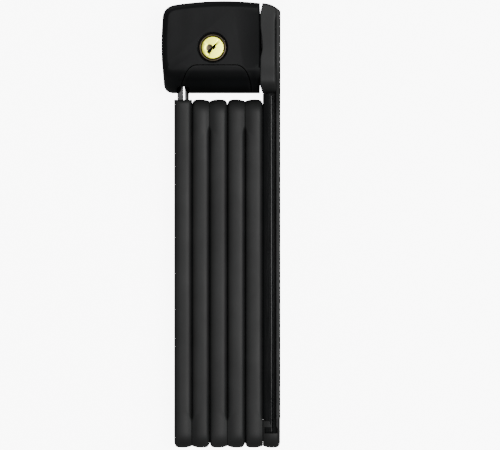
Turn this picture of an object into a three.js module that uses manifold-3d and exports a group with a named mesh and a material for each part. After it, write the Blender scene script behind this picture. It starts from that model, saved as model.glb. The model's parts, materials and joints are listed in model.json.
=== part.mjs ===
// Folding bike lock, folded flat with the bolt drawn back. Millimetres, +Z up.
// The lock lies on its back: +X runs across the bars, +Y from the foot to the lock body, +Z to the keyhole.
// The origin is the centre of the lock's footprint, on the plane that it lies on.

import * as THREE from 'three';
import { mergeVertices } from 'three/addons/utils/BufferGeometryUtils.js';
import Module from 'manifold-3d';

const wasm = await Module();
wasm.setup();

// ---- driving dimensions ----

const GAP = 0.3; // clearance between neighbouring pieces

const BAR = {
  lane: 7.55, // pitch of the bars across the lock
  width: 7.25, // coated thickness along X
  depth: 14.4, // coated depth along Z
  faceInset: 0.62, // how far the front and back edges of the coating are drawn in
  edgeDepth: 1.9, // depth of that drawn-in edge
  steelWidth: 5,
  steelDepth: 12,
  rivetPitch: 134.3,
};

const RIVET = { shank: 2.8, head: 4.5, headThickness: 0.8, bore: 3.1, headBore: 4.8 };
const WASHER = { inner: 3.1, outer: 4.4, thickness: 1.3 };

const LENGTH = 190.1; // overall, along Y
const HALF_WIDTH = 25.25; // overall half width, along X
const DEPTH = 26; // lock body and head, along Z
const MID = DEPTH / 2; // plane of the bars' rivets and of the swivel pin

const RIVET_LOW = -LENGTH / 2 + BAR.depth / 2;
const LAST_FACE = 17.85; // plane between bar 5 and bar 6

const BODY = {
  bottom: 56.25,
  right: 16.6,
  edge: 1.2, // softened front and back edges
  rollStart: 66.5, // where the front face starts to roll under
  keel: 1.6, // half width of the flat strip at the very bottom
};

const CASE = { left: -21.5, right: 14.9, bottom: 59.6, top: 90, back: 2.9, front: 21.5 };
const CYLINDER = { x: -3.44, y: 75.16, plug: 4.7, shell: 5.7, opening: 6.75, back: 11.5, face: 24.9 };
const GUARD = { outer: 11, back: 22.1, front: 23.6 };
const CRANK = { radius: 4.95, pin: 0.95 };
const BOLT = { left: -9.8, right: 15.9, bottom: 74.5, top: 83.5, back: 4.6, front: 8.6 };
const WAFERS = { count: 5, first: 13.4, pitch: 2.2, thickness: 0.6, width: 4.4, length: 8 };
const KEYWAY = { width: 2.1, height: 7.6, turn: Math.PI / 4 };

const PIN = { radius: 2.5, tail: 1.5, foot: 53, collarLow: 76.9, collarHigh: 79, top: 81 };
const PIN_TAIL_LENGTH = 12; // part of the swivel pin that sits in bar 1
const BAR_ONE_TOP = 53.3;
const HEAD = { inner: 17.9, outer: 23.4, bottom: 56, tongue: 20.4, tongueTop: 70 };
const COVER = { inner: 23.7, outer: HALF_WIDTH, bottom: -82 };
const FOOT_TOP = -82.3;
const SWING_CLEARANCE = 35.2; // radius about the swivel pin that the lock body needs to turn in

const STRIKE_WALL = 1.5; // wall of the hardened bush that the bolt enters
const BEYOND = 40; // past the lock's sides, for cuts that run right through

// Places of the two case screws, seen from the front.
const SCREWS = [
  [-17.5, 86.5],
  [11, 69.5],
];

const ROUND = 18; // sides of an ordinary round
const FINE = 32; // sides of a large or closely seen round
const ARC = 7; // steps along one curve of an outline

const laneCentre = (bar) => LAST_FACE + BAR.lane * (bar - 5.5);
const PIN_X = laneCentre(1);

// ---- materials ----

function material(colour, roughness, metalness) {
  return new THREE.MeshStandardMaterial({ color: colour, roughness, metalness });
}

const FINISH = {
  shell: () => material(0x222325, 0.45, 0),
  coating: () => material(0x3c3d3f, 0.5, 0),
  lacquer: () => material(0x0a0d10, 0.2, 0.3),
  steel: () => material(0x8f9296, 0.35, 1),
  polished: () => material(0xd8d8d8, 0.1, 1),
  brass: () => material(0xe6dc8a, 0.3, 1),
  bronze: () => material(0x8a7555, 0.35, 1),
};

// ---- solids ----

function solid(geometry) {
  const bare = geometry.clone();
  bare.deleteAttribute('normal');
  bare.deleteAttribute('uv');
  const merged = mergeVertices(bare, 1e-4);
  return new wasm.Manifold(
    new wasm.Mesh({
      numProp: 3,
      vertProperties: new Float32Array(merged.attributes.position.array),
      triVerts: new Uint32Array(merged.index.array),
    }),
  );
}

function mesh(name, shape, finish) {
  const { vertProperties, triVerts } = shape.getMesh();
  const geometry = new THREE.BufferGeometry();
  geometry.setAttribute('position', new THREE.BufferAttribute(new Float32Array(vertProperties), 3));
  geometry.setIndex(new THREE.BufferAttribute(new Uint32Array(triVerts), 1));
  geometry.computeVertexNormals();
  const result = new THREE.Mesh(geometry, finish());
  result.name = name;
  return result;
}

const cut = (shape, ...tools) => tools.reduce((left, tool) => left.subtract(tool), shape);

function box(x, y, z) {
  const geometry = new THREE.BoxGeometry(x[1] - x[0], y[1] - y[0], z[1] - z[0]);
  geometry.translate((x[0] + x[1]) / 2, (y[0] + y[1]) / 2, (z[0] + z[1]) / 2);
  return solid(geometry);
}

// A rod whose axis runs along X, Y or Z, from one end to the other; the axis passes through `at`.
function rod(axis, radius, ends, at, sides = ROUND) {
  const geometry = new THREE.CylinderGeometry(radius, radius, ends[1] - ends[0], sides);
  geometry.translate(0, (ends[0] + ends[1]) / 2, 0);
  if (axis === 'x') geometry.rotateZ(-Math.PI / 2);
  if (axis === 'z') geometry.rotateX(Math.PI / 2);
  geometry.translate(...at);
  return solid(geometry);
}

const tube = (axis, outer, inner, ends, at, sides = ROUND) =>
  cut(rod(axis, outer, ends, at, sides), rod(axis, inner, [ends[0] - 1, ends[1] + 1], at, sides));

// An outline in X and Y, pulled along Z.
function plate(outline, back, front, edge = 0) {
  const geometry = new THREE.ExtrudeGeometry(outline, {
    depth: front - back - 2 * edge,
    bevelEnabled: edge > 0,
    bevelThickness: edge,
    bevelSize: edge,
    bevelOffset: -edge,
    bevelSegments: 2,
    curveSegments: ARC,
  });
  geometry.translate(0, 0, back + edge);
  return solid(geometry);
}

const TO_SIDE = new THREE.Matrix4().makeBasis(
  new THREE.Vector3(0, 1, 0),
  new THREE.Vector3(0, 0, 1),
  new THREE.Vector3(1, 0, 0),
);

// An outline in Y and Z, pulled along X. Its edges are cut back by `depth` over the last `inset` at each side.
function slab(outline, left, right, inset = 0, depth = 0) {
  const geometry = new THREE.ExtrudeGeometry(outline, {
    depth: right - left - 2 * inset,
    bevelEnabled: inset > 0,
    bevelThickness: inset,
    bevelSize: depth,
    bevelOffset: -depth,
    bevelSegments: 1,
    curveSegments: ARC,
  });
  geometry.translate(0, 0, left + inset);
  geometry.applyMatrix4(TO_SIDE);
  return solid(geometry);
}

// ---- bars ----

// A long outline with a round end at the low rivet (y = 0) and a round or square end at the top.
function barOutline(radius, top, roundTop) {
  const outline = new THREE.Shape();
  outline.absarc(0, 0, radius, Math.PI / 2, Math.PI * 1.5, false);
  if (roundTop) {
    outline.absarc(top, 0, radius, -Math.PI / 2, Math.PI / 2, false);
  } else {
    outline.lineTo(top, -radius);
    outline.lineTo(top, radius);
  }
  return outline;
}

const rivetHoles = (radius, heights) => heights.map((y) => rod('x', radius, [-9, 9], [0, y, 0]));

function steelBar(top, roundTop, holes) {
  const half = BAR.steelWidth / 2;
  const flat = slab(barOutline(BAR.steelDepth / 2, top, roundTop), -half, half);
  return cut(flat, ...rivetHoles(RIVET.bore, holes));
}

// The coating: a pillow-shaped sleeve, full width around each rivet so that riveted bars stay parallel.
function coatedBar(top, roundTop, bosses, holes, coreTop) {
  const half = BAR.width / 2;
  const inside = BAR.steelWidth / 2 + GAP;
  const outline = barOutline(BAR.depth / 2, top, roundTop);
  let sleeve = slab(outline, -half, half, BAR.faceInset, BAR.edgeDepth);
  for (const [side, y] of bosses) {
    const ends = side > 0 ? [half - 2 * BAR.faceInset, half] : [-half, 2 * BAR.faceInset - half];
    sleeve = sleeve.add(rod('x', BAR.depth / 2 - 0.2, ends, [0, y, 0], 2 * ARC));
  }
  const hollow = slab(barOutline(BAR.steelDepth / 2 + GAP, coreTop, roundTop), -inside, inside);
  return cut(sleeve, hollow, ...rivetHoles(RIVET.headBore, holes));
}

// A rivet through this bar and the next one on its +X side, with a head at each end.
function rivetShape() {
  const far = BAR.lane;
  const face = BAR.steelWidth / 2;
  const start = -face - GAP;
  const end = far + face + GAP;
  const shank = rod('x', RIVET.shank, [start - 0.4, end + 0.4], [0, 0, 0]);
  const nearHead = rod('x', RIVET.head, [start - RIVET.headThickness, start], [0, 0, 0]);
  const farHead = rod('x', RIVET.head, [end, end + RIVET.headThickness], [0, 0, 0]);
  return shank.add(nearHead).add(farHead);
}

function washerShape() {
  const centre = BAR.lane / 2;
  const half = WASHER.thickness / 2;
  return tube('x', WASHER.outer, WASHER.inner, [centre - half, centre + half], [0, 0, 0]);
}

// Odd rivets sit at the low end, even ones at the high end.
const rivetHeight = (number) => (number % 2 ? 0 : BAR.rivetPitch);

function rivetPieces(number) {
  const rivet = mesh(`rivet_${number}`, rivetShape(), FINISH.steel);
  const washer = mesh(`washer_${number}`, washerShape(), FINISH.bronze);
  rivet.position.y = rivetHeight(number);
  washer.position.y = rivetHeight(number);
  return [rivet, washer];
}

function barGroup(number) {
  const group = new THREE.Group();
  group.position.set(laneCentre(number), RIVET_LOW, MID);
  return group;
}

function firstBar() {
  const group = barGroup(1);
  const top = BAR_ONE_TOP - RIVET_LOW;
  const coreTop = top - 1.4;
  const tailHole = rod('y', PIN.tail + GAP, [coreTop - PIN_TAIL_LENGTH, coreTop + 9], [0, 0, 0]);
  const pinRecess = rod('y', PIN.radius + 0.4, [coreTop, top + 1], [0, 0, 0]);
  const core = cut(steelBar(coreTop, false, [0]), tailHole);
  const coating = cut(coatedBar(top, false, [[1, 0]], [0], coreTop + GAP), pinRecess);
  group.add(mesh('bar_1_core', core, FINISH.steel));
  group.add(mesh('bar_1_coating', coating, FINISH.coating));
  group.add(...rivetPieces(1));
  return group;
}

function middleBar(number) {
  const group = barGroup(number);
  const holes = [0, BAR.rivetPitch];
  const bosses = [
    [-1, rivetHeight(number - 1)],
    [1, rivetHeight(number)],
  ];
  const core = steelBar(BAR.rivetPitch, true, holes);
  const coating = coatedBar(BAR.rivetPitch, true, bosses, holes, BAR.rivetPitch);
  group.add(mesh(`bar_${number}_core`, core, FINISH.steel));
  group.add(mesh(`bar_${number}_coating`, coating, FINISH.coating));
  group.add(...rivetPieces(number));
  return group;
}

// ---- swivel pin ----

function swivelPin() {
  const profile = [
    [0, PIN.foot - PIN_TAIL_LENGTH],
    [PIN.tail, PIN.foot - PIN_TAIL_LENGTH],
    [PIN.tail, PIN.foot],
    [PIN.radius, PIN.foot],
    [PIN.radius, PIN.collarHigh + GAP],
    [PIN.radius + 1.1, PIN.collarHigh + GAP],
    [PIN.radius + 1.1, PIN.top],
    [0, PIN.top],
  ].map(([r, y]) => new THREE.Vector2(r, y));
  return solid(new THREE.LatheGeometry(profile, ROUND));
}

function pinGroup() {
  const group = new THREE.Group();
  group.position.set(PIN_X, 0, MID);
  const collar = tube('y', 4.3, PIN.radius + GAP, [PIN.collarLow, PIN.collarHigh], [0, 0, 0]);
  group.add(mesh('swivel_pin', swivelPin(), FINISH.polished));
  group.add(mesh('pin_collar', collar, FINISH.steel));
  return group;
}

// ---- last bar: steel, head, side cover and foot ----

// The underside of the body and head, seen from the side: a narrow keel that rolls up to the flat faces.
function sideOutline(bottom, keel, top) {
  const rise = (BODY.rollStart - bottom) * 0.5;
  const shoulder = MID - 3.5;
  const outline = new THREE.Shape();
  outline.moveTo(bottom, MID - keel);
  outline.lineTo(bottom, MID + keel);
  outline.lineTo(bottom + rise, MID + shoulder);
  outline.quadraticCurveTo(bottom + rise + 2.2, DEPTH, BODY.rollStart, DEPTH);
  outline.lineTo(top, DEPTH);
  outline.lineTo(top, 0);
  outline.lineTo(BODY.rollStart, 0);
  outline.quadraticCurveTo(bottom + rise + 2.2, 0, bottom + rise, MID - shoulder);
  return outline;
}

// The space under the falling roof line of the head, seen from the front.
function headRoof() {
  const outline = new THREE.Shape();
  outline.moveTo(HEAD.inner - 2, COVER.bottom - 5);
  outline.lineTo(HALF_WIDTH, COVER.bottom - 5);
  outline.lineTo(HALF_WIDTH, 90.7);
  outline.quadraticCurveTo(22.2, 93.9, HEAD.inner, 94.1);
  outline.lineTo(HEAD.inner - 2, 94.2);
  return plate(outline, -1, DEPTH + 1);
}

const swingSpace = () => rod('y', SWING_CLEARANCE, [BODY.bottom - 1, 100], [PIN_X, 0, MID], 3 * FINE);

function lastBarCore() {
  const half = BAR.steelDepth / 2;
  const low = laneCentre(6) - BAR.steelWidth / 2;
  const high = COVER.inner - GAP;
  const outline = barOutline(half, HEAD.bottom - 0.4 - RIVET_LOW, false);
  const lower = slab(outline, low, high).translate([0, RIVET_LOW, MID]);
  const tongue = box([HEAD.tongue, high], [40, HEAD.tongueTop], [MID - half, MID + half]);
  const hole = rod('x', RIVET.bore, [low - 1, high + 1], [0, RIVET_LOW, MID]);
  return cut(lower.add(tongue), hole);
}

function boltOpening(left, right, clearance = GAP) {
  return box(
    [left, right],
    [BOLT.bottom - clearance, BOLT.top + clearance],
    [BOLT.back - clearance, BOLT.front + clearance],
  );
}

function strikeBush() {
  const outer = boltOpening(HEAD.inner + 1.5, HEAD.outer - 0.1, GAP + STRIKE_WALL);
  return cut(outer, boltOpening(HEAD.inner, COVER.inner));
}

function headCasing() {
  const outline = sideOutline(HEAD.bottom, BAR.depth / 2 - 0.6, 100);
  const outer = slab(outline, HEAD.inner, HEAD.outer).intersect(headRoof());
  const reach = BAR.steelDepth / 2 + GAP;
  const tongueHole = box([HEAD.tongue - GAP, 24], [50, HEAD.tongueTop + GAP], [MID - reach, MID + reach]);
  const bushHole = boltOpening(HEAD.inner + 1.2, 24, 2 * GAP + STRIKE_WALL);
  return cut(outer, tongueHole, bushHole, boltOpening(HEAD.inner - 1, 24), swingSpace());
}

function sideCover() {
  const narrow = BAR.depth / 2;
  const outline = new THREE.Shape();
  outline.moveTo(COVER.bottom, MID - narrow);
  outline.lineTo(COVER.bottom, MID + narrow);
  outline.lineTo(44, MID + narrow);
  outline.bezierCurveTo(56, MID + narrow, 56, DEPTH, 70, DEPTH);
  outline.lineTo(100, DEPTH);
  outline.lineTo(100, 0);
  outline.lineTo(70, 0);
  outline.bezierCurveTo(56, 0, 56, MID - narrow, 44, MID - narrow);
  return slab(outline, COVER.inner, COVER.outer).intersect(headRoof());
}

function foot() {
  const coated = coatedBar(BAR.rivetPitch, true, [[-1, 0]], [0], BAR.rivetPitch);
  const placed = coated.translate([laneCentre(6), RIVET_LOW, MID]);
  return cut(placed, box([0, BEYOND], [FOOT_TOP, 60], [-5, BEYOND]));
}

function lastBar() {
  const group = new THREE.Group();
  group.add(mesh('bar_6_core', lastBarCore(), FINISH.lacquer));
  group.add(mesh('head_casing', headCasing(), FINISH.shell));
  group.add(mesh('strike_bush', strikeBush(), FINISH.steel));
  group.add(mesh('side_cover', sideCover(), FINISH.coating));
  group.add(mesh('foot_coating', foot(), FINISH.coating));
  return group;
}

// ---- lock body ----

function bodyOutline() {
  const outline = new THREE.Shape();
  outline.moveTo(-20.8, BODY.bottom);
  outline.lineTo(BODY.right - 0.4, BODY.bottom);
  outline.lineTo(BODY.right, 94.15);
  outline.quadraticCurveTo(-0.7, 96.18, -19.9, 93.7);
  outline.quadraticCurveTo(-22.9, 93.1, -24.5, 90.6);
  outline.quadraticCurveTo(-26.05, 75, -24.4, 59.4);
  outline.quadraticCurveTo(-24.1, BODY.bottom, -20.8, BODY.bottom);
  return outline;
}

// The seam of the bottom cap: a U that stands on the body's lower edge. `grow` moves it outwards.
function capOutline(grow) {
  const outline = new THREE.Shape();
  outline.moveTo(-17 - grow, 50);
  outline.lineTo(-16.6 - grow, 59.9);
  outline.bezierCurveTo(-15 - grow, 64.5, -13.4 - grow, 67.8 + grow, -10, 67.8 + grow);
  outline.lineTo(6.3, 67.8 + grow);
  outline.bezierCurveTo(10.6 + grow, 67.8 + grow, 12.6 + grow, 62.5, 12.9 + grow, 58);
  outline.lineTo(12.9 + grow, 50);
  return outline;
}

function bodyBlock() {
  const front = plate(bodyOutline(), 0, DEPTH, BODY.edge);
  const side = slab(sideOutline(BODY.bottom, BODY.keel, 100), -HALF_WIDTH - 1, HALF_WIDTH);
  return front.intersect(side);
}

// The case, grown by `room`: its lower corners are cut off to follow the rolled underside.
function caseBlock(room = 0) {
  const outline = new THREE.Shape();
  outline.moveTo(CASE.bottom - room, MID - 2.5 - room);
  outline.lineTo(CASE.bottom - room, MID + 2.5 + room);
  outline.lineTo(64.4 - room, CASE.front + room);
  outline.lineTo(CASE.top + room, CASE.front + room);
  outline.lineTo(CASE.top + room, CASE.back - room);
  outline.lineTo(65.4 - room, CASE.back - room);
  return slab(outline, CASE.left - room, CASE.right + room);
}

function bodyHollow() {
  const forCase = caseBlock(0.4);
  const at = [CYLINDER.x, CYLINDER.y, 0];
  const forGuard = rod('z', GUARD.outer + GAP, [CASE.front, GUARD.front + GAP], at, FINE);
  const forCylinder = rod('z', CYLINDER.opening, [MID, DEPTH + 1], at, FINE);
  const forPin = rod('y', PIN.radius + GAP, [50, CASE.bottom], [PIN_X, 0, MID]);
  const pinArch = rod('z', PIN.radius + 0.25, [MID, DEPTH + 1], [PIN_X, BODY.bottom, 0]);
  const forBolt = boltOpening(CASE.right, BODY.right + 1, 0.4);
  return forCase.add(forGuard).add(forCylinder).add(forPin).add(pinArch).add(forBolt);
}

const halfSpace = (back, front) => box([-BEYOND, BEYOND], [BEYOND, 110], [back, front]);

function screwHoles() {
  const holes = SCREWS.flatMap(([x, y]) => [
    rod('z', 2.9, [-1, 1.9], [x, y, 0]),
    rod('z', 1.7, [-1, 7.2], [x, y, 0]),
  ]);
  return holes.reduce((all, hole) => all.add(hole));
}

function housing() {
  const shell = bodyBlock().subtract(bodyHollow());
  const frontHalf = shell.intersect(halfSpace(MID + GAP / 2, DEPTH + 1));
  const rearHalf = shell.intersect(halfSpace(-1, MID - GAP / 2));
  const capSpace = plate(capOutline(GAP / 2), MID, DEPTH + 1);
  const capShape = plate(capOutline(-GAP / 2), MID, DEPTH + 1);
  return [
    mesh('housing_front', frontHalf.subtract(capSpace), FINISH.shell),
    mesh('bottom_cap', frontHalf.intersect(capShape), FINISH.shell),
    mesh('housing_rear', rearHalf.subtract(screwHoles()), FINISH.shell),
  ];
}

function lockCase() {
  const at = [CYLINDER.x, CYLINDER.y, 0];
  const cylinderBore = rod('z', CYLINDER.shell + GAP, [BOLT.front, CASE.front + 1], at, FINE);
  const bushBore = rod('y', 4.3, [CASE.bottom - 1, 80], [PIN_X, 0, MID]);
  const collarBore = rod('y', 4.7, [PIN.collarLow - 0.4, CASE.top + 1], [PIN_X, 0, MID]);
  const boltChannel = boltOpening(BOLT.left - GAP, CASE.right + 1);
  return cut(caseBlock(), cylinderBore, bushBore, collarBore, boltChannel, screwHoles());
}

function caseScrew() {
  const head = rod('z', 2.5, [0.4, 1.6], [0, 0, 0]);
  const shank = rod('z', 1.4, [1.3, 6.8], [0, 0, 0]);
  const socket = rod('z', 1.25, [0, 1.2], [0, 0, 0], 6);
  return head.add(shank).subtract(socket);
}

function lockBody() {
  const group = new THREE.Group();
  const bush = tube('y', 4, PIN.radius + GAP, [CASE.bottom + 1.1, PIN.collarLow - 0.7], [0, 0, 0]);
  const bushMesh = mesh('pivot_bush', bush, FINISH.bronze);
  bushMesh.position.set(PIN_X, 0, MID);
  group.add(...housing());
  group.add(mesh('lock_case', lockCase(), FINISH.steel));
  group.add(bushMesh);
  SCREWS.forEach(([x, y], index) => {
    const screw = mesh(`case_screw_${index + 1}`, caseScrew(), FINISH.steel);
    screw.position.set(x, y, 0);
    group.add(screw);
  });
  return group;
}

// ---- cylinder, plug and bolt ----

function keywayShape() {
  const half = KEYWAY.height / 2;
  const slot = box([-KEYWAY.width / 2, KEYWAY.width / 2], [-half, half], [12, 30]);
  const ward = box([-KEYWAY.width / 2 - 0.9, 0], [-half + 1.4, -half + 3], [12, 30]);
  return slot.add(ward);
}

function plugShape() {
  const tailRadius = 2;
  const front = rod('z', CYLINDER.plug, [CYLINDER.back, CYLINDER.face + 0.3], [0, 0, 0], FINE);
  const tail = rod('z', tailRadius, [9.2, CYLINDER.back + 0.2], [0, 0, 0]);
  const slots = Array.from({ length: WAFERS.count }, (_, index) => {
    const z = WAFERS.first + index * WAFERS.pitch;
    const half = WAFERS.thickness / 2 + GAP;
    const side = WAFERS.width / 2 + GAP;
    return box([-side, side], [-9, 9], [z - half, z + half]);
  });
  return cut(front.add(tail), keywayShape(), ...slots);
}

// Each wafer's key window sits a little higher or lower than its neighbour's.
function waferShape(index) {
  const half = WAFERS.length / 2;
  const side = WAFERS.width / 2;
  const plateShape = box([-side, side], [-half, half], [0, WAFERS.thickness]);
  const shift = ((index * 2) % 5) * 0.3 - 0.6;
  return cut(plateShape, box([-1.3, 1.3], [-2.6 + shift, 2.6 + shift], [-1, 2]));
}

function clipShape() {
  const ring = tube('z', 4.6, 2 + GAP, [10.5, 11.1], [0, 0, 0]);
  return cut(ring, box([-1.4, 1.4], [-6, 0], [10, 12]));
}

// The cam sits on the plug's tail; its crank pin drives the bolt both ways.
function camShape() {
  const reach = CRANK.radius * Math.SQRT1_2;
  const disc = tube('z', 5.7, 2 + GAP, [9, 10.2], [0, 0, 0]);
  const crank = rod('z', CRANK.pin, [5.2, 9.2], [-reach, reach, 0]);
  return disc.add(crank);
}

function boltShape() {
  const reach = CRANK.radius * Math.SQRT1_2;
  const crankX = CYLINDER.x - reach;
  const halfSlot = CRANK.pin + 0.5;
  const slotBottom = CYLINDER.y + reach - CRANK.pin - GAP;
  const body = box([BOLT.left, BOLT.right], [BOLT.bottom, BOLT.top], [BOLT.back, BOLT.front]);
  const slot = box([crankX - halfSlot, crankX + halfSlot], [slotBottom, BOLT.top - 1], [0, 12]);
  const nose = plate(
    new THREE.Shape([
      new THREE.Vector2(BOLT.right - 1.2, BOLT.bottom - 1),
      new THREE.Vector2(BOLT.right + 1, BOLT.bottom - 1),
      new THREE.Vector2(BOLT.right + 1, BOLT.bottom + 1.2),
    ]),
    0,
    12,
  );
  return cut(body, slot, nose);
}

function cylinderPieces() {
  const group = new THREE.Group();
  group.position.set(CYLINDER.x, CYLINDER.y, 0);
  const centre = [0, 0, 0];
  const shell = tube('z', CYLINDER.shell, CYLINDER.plug + GAP, [CYLINDER.back, CYLINDER.face], centre, FINE);
  const guard = tube('z', GUARD.outer, CYLINDER.shell + GAP, [GUARD.back, GUARD.front], centre, FINE);
  group.add(mesh('cylinder_shell', shell, FINISH.bronze));
  group.add(mesh('drill_guard', guard, FINISH.steel));
  group.add(mesh('plug_cam', camShape(), FINISH.steel));
  const turned = new THREE.Group();
  turned.rotation.z = -KEYWAY.turn;
  turned.add(mesh('key_plug', plugShape(), FINISH.brass));
  turned.add(mesh('plug_clip', clipShape(), FINISH.steel));
  for (let index = 0; index < WAFERS.count; index += 1) {
    const wafer = mesh(`wafer_${index + 1}`, waferShape(index), FINISH.brass);
    wafer.position.z = WAFERS.first + index * WAFERS.pitch - WAFERS.thickness / 2;
    turned.add(wafer);
  }
  group.add(turned);
  return group;
}

// ---- assembly ----

const lock = new THREE.Group();
lock.add(lockBody());
lock.add(cylinderPieces());
lock.add(mesh('locking_bolt', boltShape(), FINISH.steel));
lock.add(pinGroup());
lock.add(firstBar());
for (let number = 2; number <= 5; number += 1) lock.add(middleBar(number));
lock.add(lastBar());

export default lock;
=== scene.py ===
"""A folding bike lock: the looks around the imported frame. Lengths are in mm, and MM makes them metres."""
import json
import math

import bmesh
import bpy
from mathutils import Matrix, Vector


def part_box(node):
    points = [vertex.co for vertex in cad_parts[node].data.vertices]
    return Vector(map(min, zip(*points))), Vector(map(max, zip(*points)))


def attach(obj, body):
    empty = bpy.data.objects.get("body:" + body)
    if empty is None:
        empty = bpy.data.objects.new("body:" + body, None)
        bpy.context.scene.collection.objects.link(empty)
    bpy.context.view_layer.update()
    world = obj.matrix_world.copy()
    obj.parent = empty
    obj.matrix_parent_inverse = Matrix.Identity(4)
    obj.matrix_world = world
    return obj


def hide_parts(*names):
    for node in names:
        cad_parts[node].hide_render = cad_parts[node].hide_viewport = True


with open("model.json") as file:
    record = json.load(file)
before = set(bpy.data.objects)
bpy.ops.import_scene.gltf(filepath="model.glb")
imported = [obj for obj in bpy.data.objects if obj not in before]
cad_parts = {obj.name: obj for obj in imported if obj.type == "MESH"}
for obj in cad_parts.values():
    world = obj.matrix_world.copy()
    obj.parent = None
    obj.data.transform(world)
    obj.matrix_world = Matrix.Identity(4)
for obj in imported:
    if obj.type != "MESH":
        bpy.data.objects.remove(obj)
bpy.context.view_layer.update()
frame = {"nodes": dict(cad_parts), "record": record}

MM = 0.001               # one millimetre in the scene's unit, the metre


# ---- places and sizes, read from the frame ----

def span(node, axis):
    """The lowest and highest place of a CAD node along an axis, in millimetres."""
    low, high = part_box(node)
    return low[axis] / MM, high[axis] / MM


X, Y, Z = 0, 1, 2
MID = sum(span("bar_2_coating", Z)) / 2          # plane of the rivets and of the swivel pin
BAR_R = span("bar_2_coating", Z)[1] - MID         # half the depth of a coated bar
RIVET_LOW = span("bar_2_coating", Y)[0] + BAR_R
RIVET_HIGH = span("bar_2_coating", Y)[1] - BAR_R
BAR_HALF = 3.78                                  # half the thickness of a coated bar; neighbours touch
BODY_LEFT, BODY_RIGHT = span("housing_front", X)
BODY_TOP = span("housing_front", Y)[1]
BODY_BOTTOM = span("housing_front", Y)[0]
DEPTH = span("housing_front", Z)[1]
SPLIT = span("housing_rear", Z)[1]
PLUG_X = sum(span("cylinder_shell", X)) / 2
PLUG_Y = sum(span("cylinder_shell", Y)) / 2
PIN_X = sum(span("swivel_pin", X)) / 2
HEAD_INNER = span("head_casing", X)[0]
HEAD_BOTTOM = span("head_casing", Y)[0]
COVER_INNER, COVER_OUTER = span("side_cover", X)
COVER_BOTTOM = span("side_cover", Y)[0]
ROLL_START = 66.5                                # where the front faces begin to roll under
KEEL = 1.6                                       # half width of the flat strip along the bottom


def bar_centre(number):
    return sum(span(f"bar_{number}_coating", X)) / 2


# ---- mesh helpers ----

def make(name, points, faces):
    """A new object from points in millimetres."""
    mesh = bpy.data.meshes.new(name)
    mesh.from_pydata([Vector(p) * MM for p in points], [], faces)
    build = bmesh.new()
    build.from_mesh(mesh)
    bmesh.ops.recalc_face_normals(build, faces=build.faces)
    build.to_mesh(mesh)
    build.free()
    piece = bpy.data.objects.new(name, mesh)
    bpy.context.scene.collection.objects.link(piece)
    return piece


def loft(name, rings):
    """A closed skin through rings of equally many points, with a flat face at each end."""
    count = len(rings[0])
    points = [p for ring in rings for p in ring]
    faces = []
    for row in range(len(rings) - 1):
        for step in range(count):
            after = (step + 1) % count
            a, b = row * count + step, row * count + after
            faces.append((a, b, b + count, a + count))
    faces.append(tuple(range(count)))
    faces.append(tuple(range((len(rings) - 1) * count, len(rings) * count)))
    return make(name, points, faces)


def lathe(name, profile, centre, axis="Y", steps=64):
    """A turned piece. The profile is a closed loop of (radius, place along the axis) pairs."""
    rings = []
    for step in range(steps):
        turn = 2 * math.pi * step / steps
        ring = []
        for radius, along in profile:
            u, v = radius * math.cos(turn), radius * math.sin(turn)
            place = {"X": (along, u, v), "Y": (v, along, u), "Z": (u, v, along)}[axis]
            ring.append(tuple(c + p for c, p in zip(centre, place)))
        rings.append(ring)
    count = len(profile)
    points = [p for ring in rings for p in ring]
    faces = []
    for step in range(steps):
        row, after = step * count, (step + 1) % steps * count
        for k in range(count):
            nxt = (k + 1) % count
            faces.append((row + k, row + nxt, after + nxt, after + k))
    piece = make(name, points, faces)
    weld(piece)
    return piece


def weld(piece):
    """Joins points that lie together and drops faces without an area."""
    near = 0.002 * MM
    build = bmesh.new()
    build.from_mesh(piece.data)
    bmesh.ops.remove_doubles(build, verts=build.verts, dist=near)
    bmesh.ops.dissolve_degenerate(build, edges=build.edges, dist=near)
    bmesh.ops.recalc_face_normals(build, faces=build.faces)
    build.to_mesh(piece.data)
    build.free()


def box(low, high):
    """A box between two corners, for cutting or joining."""
    corners = [(x, y, z) for x in (low[0], high[0]) for y in (low[1], high[1]) for z in (low[2], high[2])]
    faces = [(0, 1, 3, 2), (4, 6, 7, 5), (0, 4, 5, 1), (2, 3, 7, 6), (0, 2, 6, 4), (1, 5, 7, 3)]
    return make("cutter", corners, faces)


def rod(radius, low, high, centre, axis, steps=64):
    """A round bar along an axis, for cutting."""
    return lathe("cutter", [(0, low), (radius, low), (radius, high), (0, high)], centre, axis, steps)


def prism(outline, low, high):
    """An outline in X and Y, pulled along Z."""
    return loft("cutter", [[(x, y, low) for x, y in outline], [(x, y, high) for x, y in outline]])


def carve(piece, operation, *tools):
    """Cuts, joins or keeps the common part, one tool after another, and removes the tools."""
    for tool in tools:
        step = piece.modifiers.new("carve", "BOOLEAN")
        step.operation = operation
        step.solver = "EXACT"
        step.object = tool
        apply_modifiers(piece)
        bpy.data.objects.remove(tool)
    return piece


def apply_modifiers(piece):
    """Makes the modifiers' result the piece's own mesh."""
    bpy.context.view_layer.update()
    graph = bpy.context.evaluated_depsgraph_get()
    result = bpy.data.meshes.new_from_object(piece.evaluated_get(graph))
    piece.modifiers.clear()
    old = piece.data
    piece.data = result
    bpy.data.meshes.remove(old)


def copy_of(piece, name):
    """A second piece of the same shape."""
    twin = bpy.data.objects.new(name, piece.data.copy())
    bpy.context.scene.collection.objects.link(twin)
    return twin


def soften(piece, width, angle=40):
    """Small rounded edges where two faces meet sharply, and smooth shading elsewhere."""
    edge = piece.modifiers.new("edge", "BEVEL")
    edge.width = width * MM
    edge.segments = 2
    edge.limit_method = "ANGLE"
    edge.angle_limit = math.radians(angle)
    edge.use_clamp_overlap = True
    edge.miter_outer = "MITER_ARC"
    apply_modifiers(piece)
    smooth(piece, angle)


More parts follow.
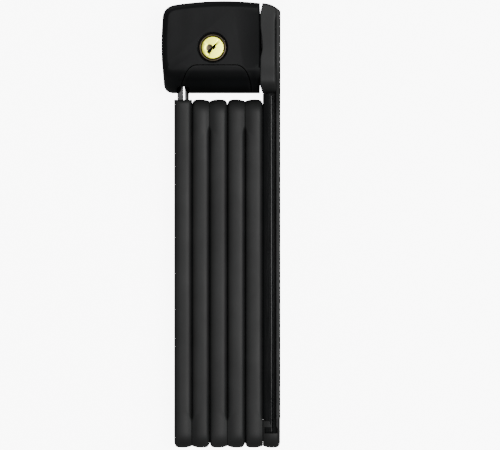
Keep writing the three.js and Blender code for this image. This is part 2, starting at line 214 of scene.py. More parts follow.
def smooth(piece, angle):
    """Smooth shading that leaves large flat faces flat."""
    piece.data.shade_smooth()
    piece.data.set_sharp_from_angle(angle=math.radians(angle))
    weighted = piece.modifiers.new("shading", "WEIGHTED_NORMAL")
    weighted.keep_sharp = True
    weighted.weight = 100
    apply_modifiers(piece)


def arc(centre, radius, start, end, steps):
    """Points on a circle, from one angle to another, in degrees."""
    turns = [math.radians(start + (end - start) * k / steps) for k in range(steps + 1)]
    return [(centre[0] + radius * math.cos(t), centre[1] + radius * math.sin(t)) for t in turns]


def bezier(points, steps):
    """A quadratic or cubic curve through its first and last points."""
    result = []
    for k in range(steps + 1):
        t = k / steps
        level = [Vector(p) for p in points]
        while len(level) > 1:
            level = [a.lerp(b, t) for a, b in zip(level, level[1:])]
        result.append(tuple(level[0]))
    return result


def mix(a, b, share):
    """The value that lies a share of the way from a to b."""
    return a + (b - a) * share


def ease(value, low, high):
    """0 up to low, 1 from high on, and a smooth rise between them."""
    share = min(max((value - low) / (high - low), 0), 1)
    return share * share * (3 - 2 * share)


# ---- materials ----

class Nodes:
    """One material's node tree, with short calls for the nodes that the looks below use."""

    def __init__(self, name):
        self.material = bpy.data.materials.new(name)
        self.material.use_nodes = True
        self.tree = self.material.node_tree
        self.shader = self.tree.nodes["Principled BSDF"]
        self.place = self.add("ShaderNodeTexCoord").outputs["Object"]

    def add(self, kind, **values):
        node = self.tree.nodes.new(kind)
        for key, value in values.items():
            setattr(node, key, value)
        return node

    def link(self, source, target):
        self.tree.links.new(source, target)

    def stretched(self, scale):
        mapping = self.add("ShaderNodeMapping")
        mapping.inputs["Scale"].default_value = scale
        self.link(self.place, mapping.inputs["Vector"])
        return mapping.outputs["Vector"]

    def noise(self, size, detail=3, stretch=(1, 1, 1)):
        """Noise whose features are about `size` millimetres across."""
        node = self.add("ShaderNodeTexNoise")
        node.inputs["Scale"].default_value = 1 / (size * MM)
        node.inputs["Detail"].default_value = detail
        self.link(self.stretched(stretch), node.inputs["Vector"])
        return node.outputs["Fac"]

    def cells(self, size):
        """Rounded cells about `size` millimetres across."""
        node = self.add("ShaderNodeTexVoronoi", feature="SMOOTH_F1")
        node.inputs["Scale"].default_value = 1 / (size * MM)
        self.link(self.stretched((1, 1, 1)), node.inputs["Vector"])
        return node.outputs["Distance"]

    def ramp(self, source, stops):
        node = self.add("ShaderNodeValToRGB")
        elements = node.color_ramp.elements
        while len(elements) < len(stops):
            elements.new(0.5)
        for element, (place, colour) in zip(elements, stops):
            element.position = place
            element.color = (*colour, 1)
        self.link(source, node.inputs["Fac"])
        return node.outputs["Color"]

    def between(self, source, low, high):
        node = self.add("ShaderNodeMapRange")
        node.inputs["To Min"].default_value = low
        node.inputs["To Max"].default_value = high
        self.link(source, node.inputs["Value"])
        return node.outputs["Result"]

    def math(self, operation, a, b):
        node = self.add("ShaderNodeMath", operation=operation)
        for socket, value in zip(node.inputs, (a, b)):
            if isinstance(value, (int, float)):
                socket.default_value = value
            else:
                self.link(value, socket)
        return node.outputs["Value"]

    def bump(self, height, depth, strength=1.0, below=None):
        """Relief of about `depth` millimetres."""
        node = self.add("ShaderNodeBump")
        node.inputs["Strength"].default_value = strength
        node.inputs["Distance"].default_value = depth * MM
        self.link(height, node.inputs["Height"])
        if below is not None:
            self.link(below, node.inputs["Normal"])
        return node.outputs["Normal"]

    def set(self, **values):
        for name, value in values.items():
            socket = self.shader.inputs[name.replace("_", " ")]
            if hasattr(value, "is_linked"):
                self.link(value, socket)
            else:
                socket.default_value = value
        return self.material


def edge_wear(n):
    """1 along raised edges and 0 on flat faces."""
    pointed = n.add("ShaderNodeNewGeometry").outputs["Pointiness"]
    node = n.add("ShaderNodeMapRange")
    node.inputs["From Min"].default_value = 0.506
    node.inputs["From Max"].default_value = 0.56
    n.link(pointed, node.inputs["Value"])
    return node.outputs["Result"]


def grained_black(name, dark, light, rough, grain, relief, gloss):
    """Black polymer with a fine spark-eroded grain, faint cloudiness and slightly polished patches."""
    n = Nodes(name)
    cloud = n.noise(14, 4)
    fine = n.cells(grain)
    speck = n.noise(grain * 0.45, 2)
    shade = n.ramp(cloud, [(0.3, dark), (0.7, light)])
    worn = n.math("MULTIPLY", edge_wear(n), 0.12)
    blend = n.add("ShaderNodeMix", data_type="RGBA")
    n.link(worn, blend.inputs["Factor"])
    n.link(shade, blend.inputs["A"])
    blend.inputs["B"].default_value = (0.03, 0.03, 0.031, 1)
    rub = n.noise(6, 5, (1, 0.35, 1))
    roughness = n.math("ADD", n.between(rub, rough - 0.06, rough + 0.06), n.between(speck, -0.03, 0.03))
    first = n.bump(fine, relief, 0.55)
    normal = n.bump(speck, relief * 0.5, 0.4, first)
    return n.set(
        Base_Color=blend.outputs["Result"],
        Roughness=roughness,
        Normal=normal,
        IOR=1.47,
        Specular_IOR_Level=gloss,
    )


def soft_coating():
    """The satin coating of the bars."""
    dark, light = (0.009, 0.0093, 0.0093), (0.013, 0.0134, 0.0134)
    return grained_black("soft_coating", dark, light, 0.5, 0.34, 0.012, 0.16)


def moulded_shell():
    """The lock body's plastic, which is darker than the bars."""
    dark, light = (0.003, 0.0032, 0.0034), (0.0045, 0.0048, 0.0051)
    return grained_black("moulded_shell", dark, light, 0.45, 0.42, 0.014, 0.07)


def lacquered_steel():
    """Glossy black lacquer over rolled steel: a slight orange peel and fine rubbing marks along the bar."""
    n = Nodes("lacquered_steel")
    peel = n.noise(1.6, 2)
    rub = n.noise(0.5, 4, (1, 0.04, 1))
    shade = n.ramp(n.noise(9, 3), [(0.3, (0.0006, 0.0008, 0.0009)), (0.7, (0.001, 0.0013, 0.0015))])
    normal = n.bump(peel, 0.02, 0.25, n.bump(rub, 0.003, 0.3))
    return n.set(
        Base_Color=shade,
        Roughness=n.between(rub, 0.1, 0.2),
        Normal=normal,
        Specular_IOR_Level=0.12,
    )


def hard_steel():
    """Hardened steel with tumbled marks and a faint grey oxide bloom."""
    n = Nodes("hard_steel")
    bloom = n.noise(3, 5)
    marks = n.noise(0.35, 4)
    shade = n.ramp(bloom, [(0.25, (0.24, 0.245, 0.25)), (0.75, (0.42, 0.42, 0.43))])
    return n.set(
        Base_Color=shade,
        Metallic=1.0,
        Roughness=n.between(marks, 0.28, 0.46),
        Normal=n.bump(marks, 0.008, 0.5),
    )


def polished_steel():
    """A ground and polished pin: hairline rings round its axis over a bright surface."""
    n = Nodes("polished_steel")
    rings = n.noise(0.25, 3, (0.05, 1, 0.05))
    smear = n.noise(2.5, 4)
    shade = n.ramp(smear, [(0.3, (0.2, 0.2, 0.205)), (0.7, (0.3, 0.3, 0.305))])
    return n.set(
        Base_Color=shade,
        Metallic=1.0,
        Roughness=n.between(rings, 0.08, 0.18),
        Normal=n.bump(rings, 0.002, 0.3),
    )


def turned_metal(name, dark, light, rough):
    """Turned metal faced on a lathe: fine circles about the key plug's axis, with handling stains; used for
    the brass and for a near-black brown metal that is painted shade.
    """
    n = Nodes(name)
    offset = n.add("ShaderNodeMapping")
    offset.inputs["Location"].default_value = (-PLUG_X * MM, -PLUG_Y * MM, 0)
    n.link(n.place, offset.inputs["Vector"])
    wave = n.add("ShaderNodeTexWave", wave_type="RINGS", rings_direction="Z")
    wave.inputs["Scale"].default_value = 1 / (0.6 * MM) / 6.28
    wave.inputs["Distortion"].default_value = 1.2
    wave.inputs["Detail"].default_value = 2
    n.link(offset.outputs["Vector"], wave.inputs["Vector"])
    stain = n.noise(1.8, 5)
    shade = n.ramp(stain, [(0.3, dark), (0.72, light)])
    turned = n.between(wave.outputs["Fac"], rough - 0.03, rough + 0.05)
    roughness = n.math("ADD", turned, n.between(stain, -0.04, 0.05))
    return n.set(
        Base_Color=shade,
        Metallic=1.0,
        Roughness=roughness,
        Normal=n.bump(wave.outputs["Fac"], 0.004, 0.35),
    )


def pale_floor():
    """A white light table: it glows evenly, and the object casts no shadow on it."""
    n = Nodes("pale_floor")
    shade = n.ramp(n.noise(60, 3), [(0.3, (0.86, 0.86, 0.86)), (0.7, (0.9, 0.9, 0.9))])
    return n.set(
        Base_Color=shade,
        Roughness=0.75,
        Normal=n.bump(n.noise(1.2, 2), 0.02, 0.1),
        Emission_Color=(1, 1, 1, 1),
        Emission_Strength=8,
    )


COATING = soft_coating()
SHELL = moulded_shell()
# The black lacquer is the bare bar's own finish; laid on the key slot, the foot's slot floor and the hidden
# inner parts it is painted shade.
LACQUER_AND_SHADE = lacquered_steel()
STEEL = hard_steel()
POLISHED = polished_steel()
BRASS = turned_metal("pale_brass", (0.95, 0.96, 0.06), (0.98, 1.0, 0.1), 0.36)
# Painted shade: a near-black brown metal for the cylinder's ring and the plug's milled floor, where the brass
# lies in shadow.
SHADE_BROWN_METAL = turned_metal("shadow_brown_metal", (0.034, 0.028, 0.018), (0.062, 0.052, 0.035), 0.42)
LOOKS = {
    "coating": COATING,
    "shell": SHELL,
    "lacquered_steel": LACQUER_AND_SHADE,
    "steel": STEEL,
    "polished_steel": POLISHED,
    "brass": BRASS,
    "bronze": SHADE_BROWN_METAL,
}


def finish_piece(piece, slot, body, *nodes):
    """Gives a piece its look, its body and the CAD nodes that it stands for."""
    piece.data.materials.clear()
    piece.data.materials.append(LOOKS[slot])
    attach(piece, body)
    if nodes:
        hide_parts(*nodes)
    return piece


# ---- coated bars ----

# Half of the coating's section, from its middle outwards: the share of the half thickness, and how far
# the surface then lies inside the bar's outline, first along the plain stretch and last beside a rivet.
SECTION = [
    (0, 0, 0), (0.25, 0.02, 0.05), (0.45, 0.08, 0.16), (0.6, 0.18, 0.29),
    (0.7, 0.3, 0.4), (0.78, 0.48, 0.49), (0.84, 0.7, 0.56), (0.88, 0.94, 0.61),
    (0.92, 1.22, 0.66), (0.96, 1.58, 0.73), (0.985, 1.9, 0.83), (1, 2.25, 1.02),
]
BOSS_END = 4.2               # how far past a rivet its full-width boss begins to fade
BOSS_SLANT = 4.5             # how much later it fades at the middle of the bar
BOSS_FADE = 2.2              # the length over which it fades
END_FULLNESS = 2.8           # 2 makes a bar's end a half circle, more makes it squarer
RECESS_RADIUS = 4.8          # the round opening in the coating's side for a rivet head or a washer


def stretch_places(low, high):
    """Places along the straight part of a bar, close together where the bosses fade out."""
    near = [1.5, 3, 4] + [BOSS_END + 0.55 * k for k in range(15)] + [14, 18, 26, 40]
    return [low + d for d in near] + [(low + high) / 2] + [high - d for d in reversed(near)]


def squarer(turn):
    """A way out from a bar end's centre, stretched so that the end is fuller than a half circle."""
    y, z = math.cos(turn), math.sin(turn)
    reach = (abs(y) ** END_FULLNESS + abs(z) ** END_FULLNESS) ** (-1 / END_FULLNESS)
    return y * reach, z * reach


def bar_path(low, high, round_top, corner=1.6):
    """The bar's outline from the side: each arc's centre and radius, and the way that the surface faces."""
    arc_steps = 28
    stretch = stretch_places(low, high)
    turns = [math.pi * (0.5 + k / arc_steps) for k in range(arc_steps + 1)]
    ways = [squarer(t) for t in turns]
    path = [(low, MID, BAR_R, *way) for way in ways]
    path += [(y, MID, BAR_R, 0, -1) for y in stretch]
    if round_top:
        path += [(high, MID, BAR_R, -y, -z) for y, z in ways]
    else:
        for side in (-1, 1):
            for k in range(9):
                turn = math.radians(45 * (side - 1) + 90 * k / 8)
                centre = (high - corner, MID + side * (BAR_R - corner))
                path.append((*centre, corner, math.cos(turn), math.sin(turn)))
    return path + [(y, MID, BAR_R, 0, 1) for y in reversed(stretch)]


def section_ring(x, share, insets, path, bosses):
    """One ring of the coating; `share` is how far across the half thickness, `bosses` this side's rivets."""
    start = BOSS_END + BOSS_SLANT * (1 - share)
    ring = []
    for y, z, radius, face_y, face_z in path:
        blend = 0
        for rivet in bosses:
            along = (y + face_y * radius - rivet) * (1 if rivet == RIVET_LOW else -1)
            blend = max(blend, 1 - ease(along, start, start + BOSS_FADE))
        inset = mix(*insets, blend)
        reach = max(radius - inset, 0.05)
        pull = inset - (radius - reach)
        centre_y = y - (pull if face_y > 0 else 0)
        centre_z = z - math.copysign(pull, z - MID)
        if radius < BAR_R:
            ring.append((x, y + face_y * radius, centre_z + face_z * reach))
        else:
            ring.append((x, centre_y + face_y * reach, centre_z + face_z * reach))
    return ring


def bar_skin(name, centre, low, high, round_top, bosses, half=BAR_HALF):
    """The coating: its section swept round the bar. `bosses` are (side, height) of its rivets."""
    path = bar_path(low, high, round_top)
    rings = []
    for side in (-1, 1):
        heights = [height for boss_side, height in bosses if boss_side == side]
        flank = [
            section_ring(centre + side * share * half, share, insets, path, heights)
            for share, *insets in SECTION
        ]
        rings += flank[:0:-1] if side < 0 else flank
    return loft(name, rings)


def rivet_height(number):
    return RIVET_LOW if number % 2 else RIVET_HIGH


def rivet_recess(centre, side, height):
    """Where a rivet's head or the washer shows in the coating's side."""
    steel, beyond = 2.75, BAR_HALF + 1
    low, high = sorted((centre + side * steel, centre + side * beyond))
    return rod(RECESS_RADIUS, low, high, (0, height, MID), "X")


def coated_bar(number):
    """A bar's coating, open at its sides for the rivets; bar 1 ends square, under the swivel pin."""
    centre = bar_centre(number)
    top = span(f"bar_{number}_coating", Y)[1]
    first = number == 1
    bosses = [(1, rivet_height(number))] + ([] if first else [(-1, rivet_height(number - 1))])
    skin = bar_skin(f"coating_{number}", centre, RIVET_LOW, top if first else RIVET_HIGH, not first, bosses)
    heights = [RIVET_LOW] if first else [RIVET_LOW, RIVET_HIGH]
    recesses = [rivet_recess(centre, side, height) for side in (-1, 1) for height in heights]
    if first:
        recesses.append(rod(2.95, top - 0.7, top + 1, (PIN_X, 0, MID), "Y"))
    carve(skin, "DIFFERENCE", *recesses)
    smooth(skin, 35)
    return finish_piece(skin, "coating", f"bar_{number}", f"bar_{number}_coating")


def rivet(number):
    """A domed-edge rivet: both heads, with a turned centre mark, and the shank between them."""
    low, high = span(f"rivet_{number}", X)
    head, shank, thick = 4.5, 2.8, 0.8
    profile = [
        (0, low + 0.25), (1.2, low + 0.25), (1.5, low),
        (head - 0.35, low), (head - 0.1, low + 0.1), (head, low + 0.35),
        (head, low + thick), (shank, low + thick), (shank, high - thick), (head, high - thick),
        (head, high - 0.35),
        (head - 0.1, high - 0.1), (head - 0.35, high), (1.5, high), (1.2, high - 0.25), (0, high - 0.25),
    ]
    piece = lathe(f"rivet_body_{number}", profile, (0, rivet_height(number), MID), "X", 48)
    smooth(piece, 35)
    return finish_piece(piece, "steel", f"bar_{number}", f"rivet_{number}")


# ---- lock body ----

def side_floor(z, bottom):
    """How low the body or the head reaches at depth z: a narrow keel that rolls up to the flat faces."""
    off = abs(z - MID)
    rise = (ROLL_START - bottom) / 2
    shoulder = MID - 3.5
    if off <= KEEL:
        return bottom
    if off <= shoulder:
        share = (off - KEEL) / (shoulder - KEEL)
        return bottom + rise * (share - 0.12 * math.sin(math.pi * share))
    curve = bezier([(shoulder, bottom + rise), (MID, bottom + rise + 2.2), (MID, ROLL_START)], 24)
    for (a, low), (b, high) in zip(curve, curve[1:]):
        if a <= off <= b:
            return mix(low, high, (off - a) / max(b - a, 1e-6))
    return ROLL_START


def body_outline():
    """The lock body from the front: (x, y, how strongly the edge is rounded there), from its lower left."""
    left, right, bottom, top = BODY_LEFT, BODY_RIGHT, BODY_BOTTOM, BODY_TOP
    base = [(x, bottom, 0) for x in (left + 5.2 + k * (right - left - 5.2) / 30 for k in range(31))]
    side = [
        (right + 0.3 * (1 - abs(k / 12 - 1) ** 3), mix(bottom, top - 0.9, k / 24), 0.3)
        for k in range(1, 25)
    ]
    roof_line = bezier([(right, top - 0.9), (left + 24.5, top + 1.13), (left + 6, top - 1.6)], 40)
    corner = bezier([(left + 6, top - 1.6), (left + 1.2, top - 2.4), (left + 0.6, top - 6.6)], 16)
    flank = bezier([(left + 0.6, top - 6.6), (left - 0.6, top - 20), (left + 0.85, bottom + 4)], 26)
    heel = bezier([(left + 0.85, bottom + 4), (left + 1.1, bottom), (left + 5.2, bottom)], 12)
    upper = [(x, y, 0.8) for x, y in roof_line[1:] + corner[1:] + flank[1:]]
    lower = [(x, y, 0.8 - 0.8 * ease(k, 0, 10)) for k, (x, y) in enumerate(heel[1:-1])]
    return base + side + upper + lower


def outward(points, index):
    """The way that a closed outline faces at one of its points."""
    before, after = points[index - 1], points[(index + 1) % len(points)]
    along = Vector((after[0] - before[0], after[1] - before[1]))
    return Vector((along.y, -along.x)).normalized()


EDGE_ROUND = 3.2             # rounding of the body's left and upper edges


def rounding(z, radius):
    """How far a rounded edge lies inside the outline at depth z."""
    into = max(abs(z - MID) - (MID - radius), 0)
    return radius - math.sqrt(max(radius * radius - into * into, 0))


def body_ring(z, outline, faces):
    """The body's outline at depth z, with its lower part squeezed up to the rolled floor."""
    floor = side_floor(z, BODY_BOTTOM)
    limit = ROLL_START + 4
    ring = []
    for (x, y, weight), face in zip(outline, faces):
        inset = rounding(z, EDGE_ROUND) * weight
        px, py = x - face.x * inset, y - face.y * inset
        if py < limit:
            py = mix(floor, limit, (py - BODY_BOTTOM) / (limit - BODY_BOTTOM))
        ring.append((px, py, z))
    return ring


def body_block():
    """The lock body as one solid: rings from back to front, drawn in where its edges are rounded."""
    outline = body_outline()
    faces = [outward(outline, k) for k in range(len(outline))]
    edge = [MID - EDGE_ROUND * (1 - math.cos(math.pi / 2 * k / 10)) for k in range(11)]
    inner = [KEEL + (MID - EDGE_ROUND - KEEL) * k / 12 for k in range(12)]
    offsets = inner + edge[::-1]
    levels = sorted({round(MID + side * off, 4) for side in (-1, 1) for off in offsets})
    return loft("body", [body_ring(z, outline, faces) for z in levels])


def cap_outline(grow):
    """The seam of the bottom cap: a U that stands on the body's lower edge."""
    top = 67.8 + grow
    left = bezier([(-16.6 - grow, 59.9), (-15 - grow, 64.5), (-13.4 - grow, top), (-10, top)], 14)
    right = bezier([(6.3, top), (10.6 + grow, top), (12.6 + grow, 62.5), (12.9 + grow, 58)], 14)
    return [(-17 - grow, 50)] + left + right + [(12.9 + grow, 50)]


def hollow_tools():
    """What is cut out of the housing: room for the lock case, the cylinder, the pin and the bolt."""
    low, high = (Vector(corner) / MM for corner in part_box("lock_case"))
    bolt_low, bolt_high = (Vector(corner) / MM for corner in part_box("locking_bolt"))
    room = 0.4
    wall = DEPTH - high.z
    half, crown, round_corner = 2.8, BODY_BOTTOM + 2.75, 1.4
    spring = crown - round_corner
    arch = [(PIN_X - half, BODY_BOTTOM - 3), (PIN_X + half, BODY_BOTTOM - 3)]
    arch += arc((PIN_X + half - round_corner, spring), round_corner, 0, 90, 8)
    arch += arc((PIN_X - half + round_corner, spring), round_corner, 90, 180, 8)
    case = box((low.x - room, 65.6, low.z - room), (high.x + room, high.y + room, high.z + room))
    bolt_way = box((high.x - 1, bolt_low.y - room, bolt_low.z - room),
                   (BODY_RIGHT + 1, bolt_high.y + room, bolt_high.z + room))
    return [
        case,
        rod(11.3, high.z - 0.5, DEPTH - wall / 2, (PLUG_X, PLUG_Y, 0), "Z"),
        rod(6.6, MID, DEPTH + 1, (PLUG_X, PLUG_Y, 0), "Z", 96),
        rod(2.8, BODY_BOTTOM - 3, 68, (PIN_X, 0, MID), "Y"),
        prism(arch, MID, DEPTH + 1),
        bolt_way,
    ]


def housing():
    """Front shell, bottom cap and rear shell, cut from one block so that their outer faces run on."""
    block = carve(body_block(), "DIFFERENCE", *hollow_tools())
    seam = 0.2
    seam_floor, front_reach = MID + 0.5, DEPTH + 2
    far, above = 60, 200
    before_split = box((-far, 0, SPLIT + 0.2), (far, above, front_reach))
    front = carve(copy_of(block, "front_shell"), "INTERSECT", before_split)
    within_seam = prism(cap_outline(-seam), seam_floor, front_reach)
    cap = carve(copy_of(front, "cap_shell"), "INTERSECT", within_seam)
    carve(front, "DIFFERENCE", prism(cap_outline(seam), seam_floor, front_reach))
    rear = carve(copy_of(block, "rear_shell"), "INTERSECT", box((-far, 0, -2), (far, above, SPLIT)))
    screws = [screw_recess(name) for name in ("case_screw_1", "case_screw_2")]
    carve(rear, "DIFFERENCE", *screws)
    bpy.data.objects.remove(block)
    for piece, node in ((front, "housing_front"), (cap, "bottom_cap"), (rear, "housing_rear")):
        smooth(piece, 38)
        for polygon in piece.data.polygons:
            polygon.use_smooth = polygon.normal.z < 0.9999
        finish_piece(piece, "shell", "lock_body", node)


def screw_recess(node):
    """The stepped hole in the rear shell that a case screw sits in."""
    x, y = (sum(span(node, axis)) / 2 for axis in (X, Y))
    return lathe("cutter", [(0, -1), (3.1, -1), (3.1, 0), (2.8, 0.3), (2.8, 3), (0, 3)], (x, y, 0), "Z", 48)


# ---- last bar ----

VALLEY_END = (86, 90)        # where the shadow line between head and strip dies out, below the roof


def roof(x):
    """The falling upper edge of the head, seen from the front."""
    top = BODY_TOP - 0.95
    curve = bezier([(HEAD_INNER, top), (22.2, top - 0.2), (COVER_OUTER, top - 3.4)], 24)
    for (a, high), (b, low) in zip(curve, curve[1:]):
        if a <= x <= b:
            return mix(high, low, (x - a) / (b - a))
    return top if x < HEAD_INNER else top - 3.4


def profile_ring(x, inset, low, half_depth, fading, corner=1.0):
    """An outline in Y and Z at one place across the head or the strip; a fading inset ends below the roof."""
    top = roof(x) - (0 if fading else inset)
    heights = [mix(low + inset, top - corner, k / 60) for k in range(61)]
    side = [(y, half_depth(y) - inset * (1 - ease(y, *VALLEY_END) if fading else 1)) for y in heights]
    reach = side[-1][1] - corner
    bend = [(top - corner + corner * math.sin(t), reach + corner * math.cos(t))
            for t in (math.radians(15 * k) for k in range(1, 7))]
    front = side + bend
    return [(x, y, MID + half) for y, half in front] + [(x, y, MID - half) for y, half in reversed(front)]


def edged_loft(name, left, right, edge_left, edge_right, ring):
    """Rings from one side to the other, drawn in along a quarter circle at each side."""
    steps = 7
    rings = []
    for k in range(steps + 1):
        turn = math.pi / 2 * k / steps
        rings.append(ring(left + edge_left * (1 - math.cos(turn)), edge_left * (1 - math.sin(turn))))
    middle = 4
    for k in range(1, middle):
        rings.append(ring(mix(left + edge_left, right - edge_right, k / middle), 0))
    for k in range(steps + 1):
        turn = math.pi / 2 * (1 - k / steps)
        rings.append(ring(right - edge_right * (1 - math.cos(turn)), edge_right * (1 - math.sin(turn))))
    return loft(name, rings)


def head_half_depth(y):
    """Half the head's depth: narrow like the bars at its lower end, then a low ridge, then a flat face."""
    ridge, flat_start = 61.8, 68.5
    if y < ridge:
        share = max((y - HEAD_BOTTOM) / (ridge - HEAD_BOTTOM), 0)
        return mix(BAR_R - 0.8, MID, math.sqrt(1 - (1 - share) ** 2))
    return MID - 0.5 * ease(y, ridge, flat_start)


def cover_half_depth(y):
    """Half the strip's depth: that of the bars, and that of the lock body beside the head."""
    return mix(BAR_R, MID, ease(y, 44, 70))


def swing_cut():
    """The hollow that the lock body's corners swing through."""
    return rod(35.2, HEAD_BOTTOM - 2, BODY_TOP + 4, (PIN_X, 0, MID), "Y", 128)


# The head's inner edge from the front, as (height, place): it meets the body twice, with a hollow between.
HEAD_EDGE = [
    (55, 17.9), (61, 16.7), (70, 16.7), (75.5, 17.6),
    (85.5, 16.7), (90.5, 16.7), (92.5, 17.5), (96, 17.6),
]


def head_edge(y):
    """The place of the head's inner edge at a height."""
    for (low, before), (high, after) in zip(HEAD_EDGE, HEAD_EDGE[1:]):
        if y <= high:
            return mix(before, after, ease(y, low, high))
    return HEAD_EDGE[-1][1]


def head():
    """The moulded head beside the lock body, hollow for the strike bush and open for the bolt."""
    left, right = HEAD_EDGE[-1][1], COVER_INNER + 0.1

    def ring(x, inset):
        points = profile_ring(x, inset, HEAD_BOTTOM, head_half_depth, x > 21)
        share = (right - x) / (right - left)
        return [(px + (head_edge(y) - left) * share * share, y, z) for px, y, z in points]

    shell = edged_loft("head_shell", left, right, 0.35, 1.5, ring)
    low, high = (Vector(corner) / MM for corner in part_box("strike_bush"))
    bolt_low, bolt_high = (Vector(corner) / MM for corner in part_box("locking_bolt"))
    waist = (bolt_low.z + bolt_high.z) / 2
    lower_pocket = box((low.x - 0.3, low.y - 0.3, low.z - 0.3), (30, high.y + 0.3, waist))
    upper_pocket = box((low.x - 0.3, low.y - 0.3, waist), (30, high.y + 0.3, high.z + 0.3))
    room = 0.45
    mouth = box((10, bolt_low.y - room, bolt_low.z - room), (29, bolt_high.y + room, bolt_high.z + room))
    tongue = box((20.1, 50, MID - 6.3), (28, 70.3, MID + 6.3))
    carve(shell, "DIFFERENCE", swing_cut(), lower_pocket, upper_pocket, mouth, tongue)
    soften(shell, 0.1)
    finish_piece(shell, "coating", "bar_6", "head_casing")


def side_strip():
    """The cover along the outer side of the last bar; its inner edge falls away into the shadow line."""
    def ring(x, inset):
        return profile_ring(x, inset, COVER_BOTTOM - 0.35, cover_half_depth, x < 24.4)

    strip = edged_loft("side_strip", COVER_INNER - 0.3, COVER_OUTER + 0.1, 0.4, 0.25, ring)
    smooth(strip, 50)
    finish_piece(strip, "coating", "bar_6", "side_cover")


def bare_bar():
    """The lacquered steel between the head and the foot, with softened corners along its whole length."""
    left, right = bar_centre(5) + BAR_HALF, COVER_INNER + 0.1
    low, high = RIVET_LOW - 6, HEAD_BOTTOM - 0.15
    half = 6.0
    outline = [(low + half + half * math.cos(t), half * math.sin(t))
               for t in (math.pi / 2 + math.pi * k / 24 for k in range(25))]
    outline = outline + [(high, -half), (high, half)]
    shoulder = 22.1
    profile = [
        (left, 0.45), (left + 0.13, 0.13), (left + 0.45, 0),
        (shoulder - 0.6, 0), (shoulder - 0.35, 0.07), (shoulder - 0.15, 0.25), (shoulder, 0.6),
        (shoulder + 0.05, 1.7), (right, 1.7),
    ]
    rings = []
    for x, inset in profile:
        rings.append([
            (x, mix(y, (low + high) / 2, 0), MID + z * (half - inset) / half) for y, z in outline
        ])
    bar = loft("bare_bar", rings)
    thin = box((left - 1, low - 1, MID - 8), (19.05, COVER_BOTTOM - 0.4, MID + 8))
    hole = rod(3.1, 15, 28, (0, RIVET_LOW, MID), "X")
    tongue = box((20.45, high - 1, MID - half), (right - 0.2, 69.8, MID + half))
    carve(bar, "DIFFERENCE", thin, hole)
    carve(bar, "UNION", tongue)
    smooth(bar, 30)
    finish_piece(bar, "lacquered_steel", "bar_6", "bar_6_core")


def foot():
    """The coated end of the last bar: a boss like its neighbour's, a slot with painted shade on its floor and
    a small ledge above.
    """
    left = bar_centre(5) + BAR_HALF + 0.05
    centre, half = (left + COVER_OUTER) / 2, (COVER_OUTER - left) / 2
    skin = bar_skin("foot_skin", centre, RIVET_LOW, RIVET_LOW + 90, True, [(-1, RIVET_LOW)], half)
    wall, strip = left + 0.5, COVER_INNER
    slot_low, slot_high = RIVET_LOW - 0.75, RIVET_LOW + 1.95
    ledge_top = slot_high + 2.5
    slot_floor = MID + 4.9
    recess = [
        (wall, slot_low), (strip + 0.45, slot_low), (strip + 0.45, slot_high - 0.6), (strip, slot_high + 0.3),
        (strip, -60), (wall, -60), (wall, ledge_top), (20.6, ledge_top), (21.5, slot_high), (wall, slot_high),
    ]
    tools = [
        box((10, span("foot_coating", Y)[1], 0), (30, 80, 30)),
        prism(recess, slot_floor, 40),
        rod(RECESS_RADIUS, 10, left + 1, (0, RIVET_LOW, MID), "X"),
    ]
    carve(skin, "DIFFERENCE", *tools)
    smooth(skin, 35)
    finish_piece(skin, "coating", "bar_6", "foot_coating")
    # Painted shade: the slot's floor takes the black lacquer so that the slot reads as a shadowed hole.
    skin.data.materials.append(LACQUER_AND_SHADE)
    for polygon in skin.data.polygons:
        if abs(polygon.center.z / MM - slot_floor) < 0.01:
            polygon.material_index = 1


# ---- cylinder, pin and small parts ----

def key_plug():
    """The plug, with a softened rim, a plain warded key slot and a shallow milled round beside it."""
    low, face = 11.5, span("key_plug", Z)[1]
    radius = 4.72
    milled_floor = face - 0.5
    profile = [
        (0, low), (radius, low), (radius, face - 0.3),
        (radius - 0.12, face - 0.08), (radius - 0.35, face), (0, face),
    ]
    plug = lathe("plug_face", profile, (PLUG_X, PLUG_Y, 0), "Z", 96)
    tools = []
    # (centre along the slot, centre across it, half length, half width), in the slot's own direction
    openings = [(-0.4, 0, 2.6, 0.42), (-2.2, -0.15, 0.9, 0.7), (0.4, -0.6, 0.75, 0.35)]
    slot_turn = Matrix.Rotation(math.radians(45), 4, "Z")
    slot_place = Matrix.Translation(Vector((PLUG_X, PLUG_Y, 0)) * MM) @ slot_turn
    for along, across, length, width in openings:
        tool = box((-length, -width, 13), (length, width, face + 1))
        tool.data.transform(slot_place @ Matrix.Translation(Vector((along, across, 0)) * MM))
        tools.append(tool)
    milled = rod(1.5, milled_floor, face + 1, (PLUG_X - 1.3, PLUG_Y - 0.1, 0), "Z", 48)
    carve(plug, "DIFFERENCE", *tools, milled)
    soften(plug, 0.07)
    finish_piece(plug, "brass", "plug", "key_plug")
    # Painted shade: the slot's inner walls and floor take the black lacquer, and the milled round's floor the
    # near-black brown metal, as shadow in these hollows.
    plug.data.materials.append(LACQUER_AND_SHADE)
    plug.data.materials.append(SHADE_BROWN_METAL)
    for polygon in plug.data.polygons:
        away = (polygon.center.xy / MM - Vector((PLUG_X, PLUG_Y))).length
        if away < radius - 0.4 and low + 1 < polygon.center.z / MM < face - 0.12:
            on_milled_floor = abs(polygon.center.z / MM - milled_floor) < 0.01
            polygon.material_index = 2 if on_milled_floor else 1


def cylinder_ring():
    """The fixed shell, seen as a ring round the plug, in a near-black brown that is painted shade on the
    brass housing's edge.
    """
    low, face = span("cylinder_shell", Z)
    inner, outer = 4.95, 5.72
    profile = [
        (inner, low), (outer, low),
        (outer, face - 0.25), (outer - 0.1, face - 0.06), (outer - 0.28, face),
        (inner + 0.22, face), (inner + 0.06, face - 0.1), (inner, face - 0.3),
    ]
    ring = lathe("cylinder_ring", profile, (PLUG_X, PLUG_Y, 0), "Z", 96)
    smooth(ring, 35)
    finish_piece(ring, "bronze", "lock_body", "cylinder_shell")


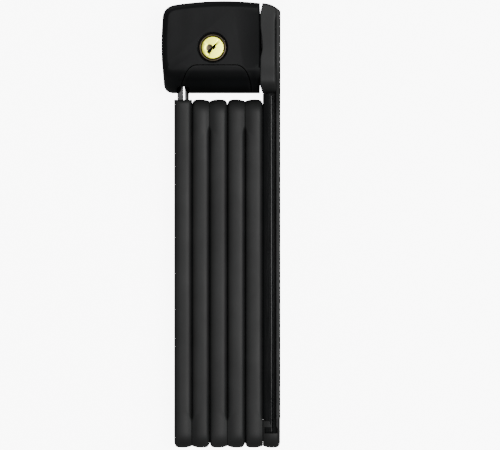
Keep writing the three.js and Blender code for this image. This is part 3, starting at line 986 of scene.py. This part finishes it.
def swivel_pin():
    """The polished pin: a thin tail held in bar 1, the bright middle and a flange inside the lock body."""
    low, high = span("swivel_pin", Y)
    foot, collar = low + 12, high - 1.7
    profile = [
        (0, low), (1.2, low), (1.5, low + 0.3), (1.5, foot),
        (2.2, foot), (2.5, foot + 0.3), (2.5, collar),
        (3.5, collar), (3.6, collar + 0.15), (3.6, high - 0.3), (3.3, high), (0, high),
    ]
    pin = lathe("pin_body", profile, (PIN_X, 0, MID), "Y", 96)
    smooth(pin, 35)
    finish_piece(pin, "polished_steel", "bar_1", "swivel_pin")


# Painted shade: the lock case, the guard plate and the wafers take the black lacquer in place of their own
# steel, as they are seen only as shadow.
SEEN_AS_SHADOW = ["lock_case", "drill_guard", "wafer_1", "wafer_2", "wafer_3", "wafer_4", "wafer_5"]


def small_parts():
    """The CAD nodes that keep their own shape get their look and a softened edge."""
    shown = {entry["node"]: entry["material_slot"] for entry in frame["record"]["subparts"]}
    replaced = {"housing_front", "housing_rear", "bottom_cap", "cylinder_shell", "key_plug", "swivel_pin",
                "bar_6_core", "head_casing", "side_cover", "foot_coating"}
    replaced |= {f"bar_{k}_coating" for k in range(1, 6)} | {f"rivet_{k}" for k in range(1, 6)}
    for node, slot in shown.items():
        if node in replaced:
            continue
        piece = frame["nodes"][node]
        piece.data.materials.clear()
        # Painted shade: the parts seen only as shadow get the black lacquer instead of their own look.
        piece.data.materials.append(LACQUER_AND_SHADE if node in SEEN_AS_SHADOW else LOOKS[slot])
        edge = piece.modifiers.new("edge", "BEVEL")
        edge.width = 0.08 * MM
        edge.segments = 2
        edge.limit_method = "ANGLE"
        edge.angle_limit = math.radians(45)


# ---- camera, floor and lights ----

def camera():
    """Looks straight down on the keyhole face, with the bars running up the picture."""
    width = 212.5 * MM
    lens = 260
    data = bpy.data.cameras.new("camera")
    data.lens = lens
    data.sensor_width = 36
    data.clip_start = 0.05
    data.clip_end = 20
    view = bpy.data.objects.new("camera", data)
    aim = Vector((12.4, 0, 20)) * MM
    view.location = aim + Vector((0, 0, width * lens / 36))
    bpy.context.scene.collection.objects.link(view)
    bpy.context.scene.camera = view


def area_light(name, place, aim, size, power):
    """A soft rectangular light, in metres and watts, turned towards a point."""
    data = bpy.data.lights.new(name, "AREA")
    data.shape = "RECTANGLE"
    data.size, data.size_y = size
    data.energy = power
    light = bpy.data.objects.new(name, data)
    light.location = place
    light.rotation_mode = "QUATERNION"
    light.rotation_quaternion = (Vector(aim) - Vector(place)).to_track_quat("-Z", "Y")
    bpy.context.scene.collection.objects.link(light)


def stage():
    """A glowing white floor that does not light the lock, an even grey-white room and three soft lights."""
    reach, level = 3000, -0.4
    corners = [(x * reach, y * reach, level) for x, y in ((-1, -1), (1, -1), (1, 1), (-1, 1))]
    floor = make("floor", corners, [(0, 1, 2, 3)])
    floor.data.materials.append(pale_floor())
    floor.visible_diffuse = False
    floor.visible_glossy = False
    world = bpy.data.worlds.new("studio")
    bpy.context.scene.world = world
    world.use_nodes = True
    world.node_tree.nodes["Background"].inputs["Color"].default_value = (1, 1, 1, 1)
    world.node_tree.nodes["Background"].inputs["Strength"].default_value = 0.4
    centre = (0, 0, 0.01)
    area_light("overhead", (0.46, 0.08, 1.65), centre, (0.5, 0.5), 27)
    area_light("side", (0.27, 0, 0.5), centre, (0.16, 0.3), 0.9)
    area_light("rim", (-0.25, 0.6, 0.12), centre, (0.3, 0.1), 1.2)


camera()
for bar in range(1, 6):
    coated_bar(bar)
    rivet(bar)
housing()
head()
side_strip()
bare_bar()
foot()
key_plug()
cylinder_ring()
swivel_pin()
small_parts()
stage()
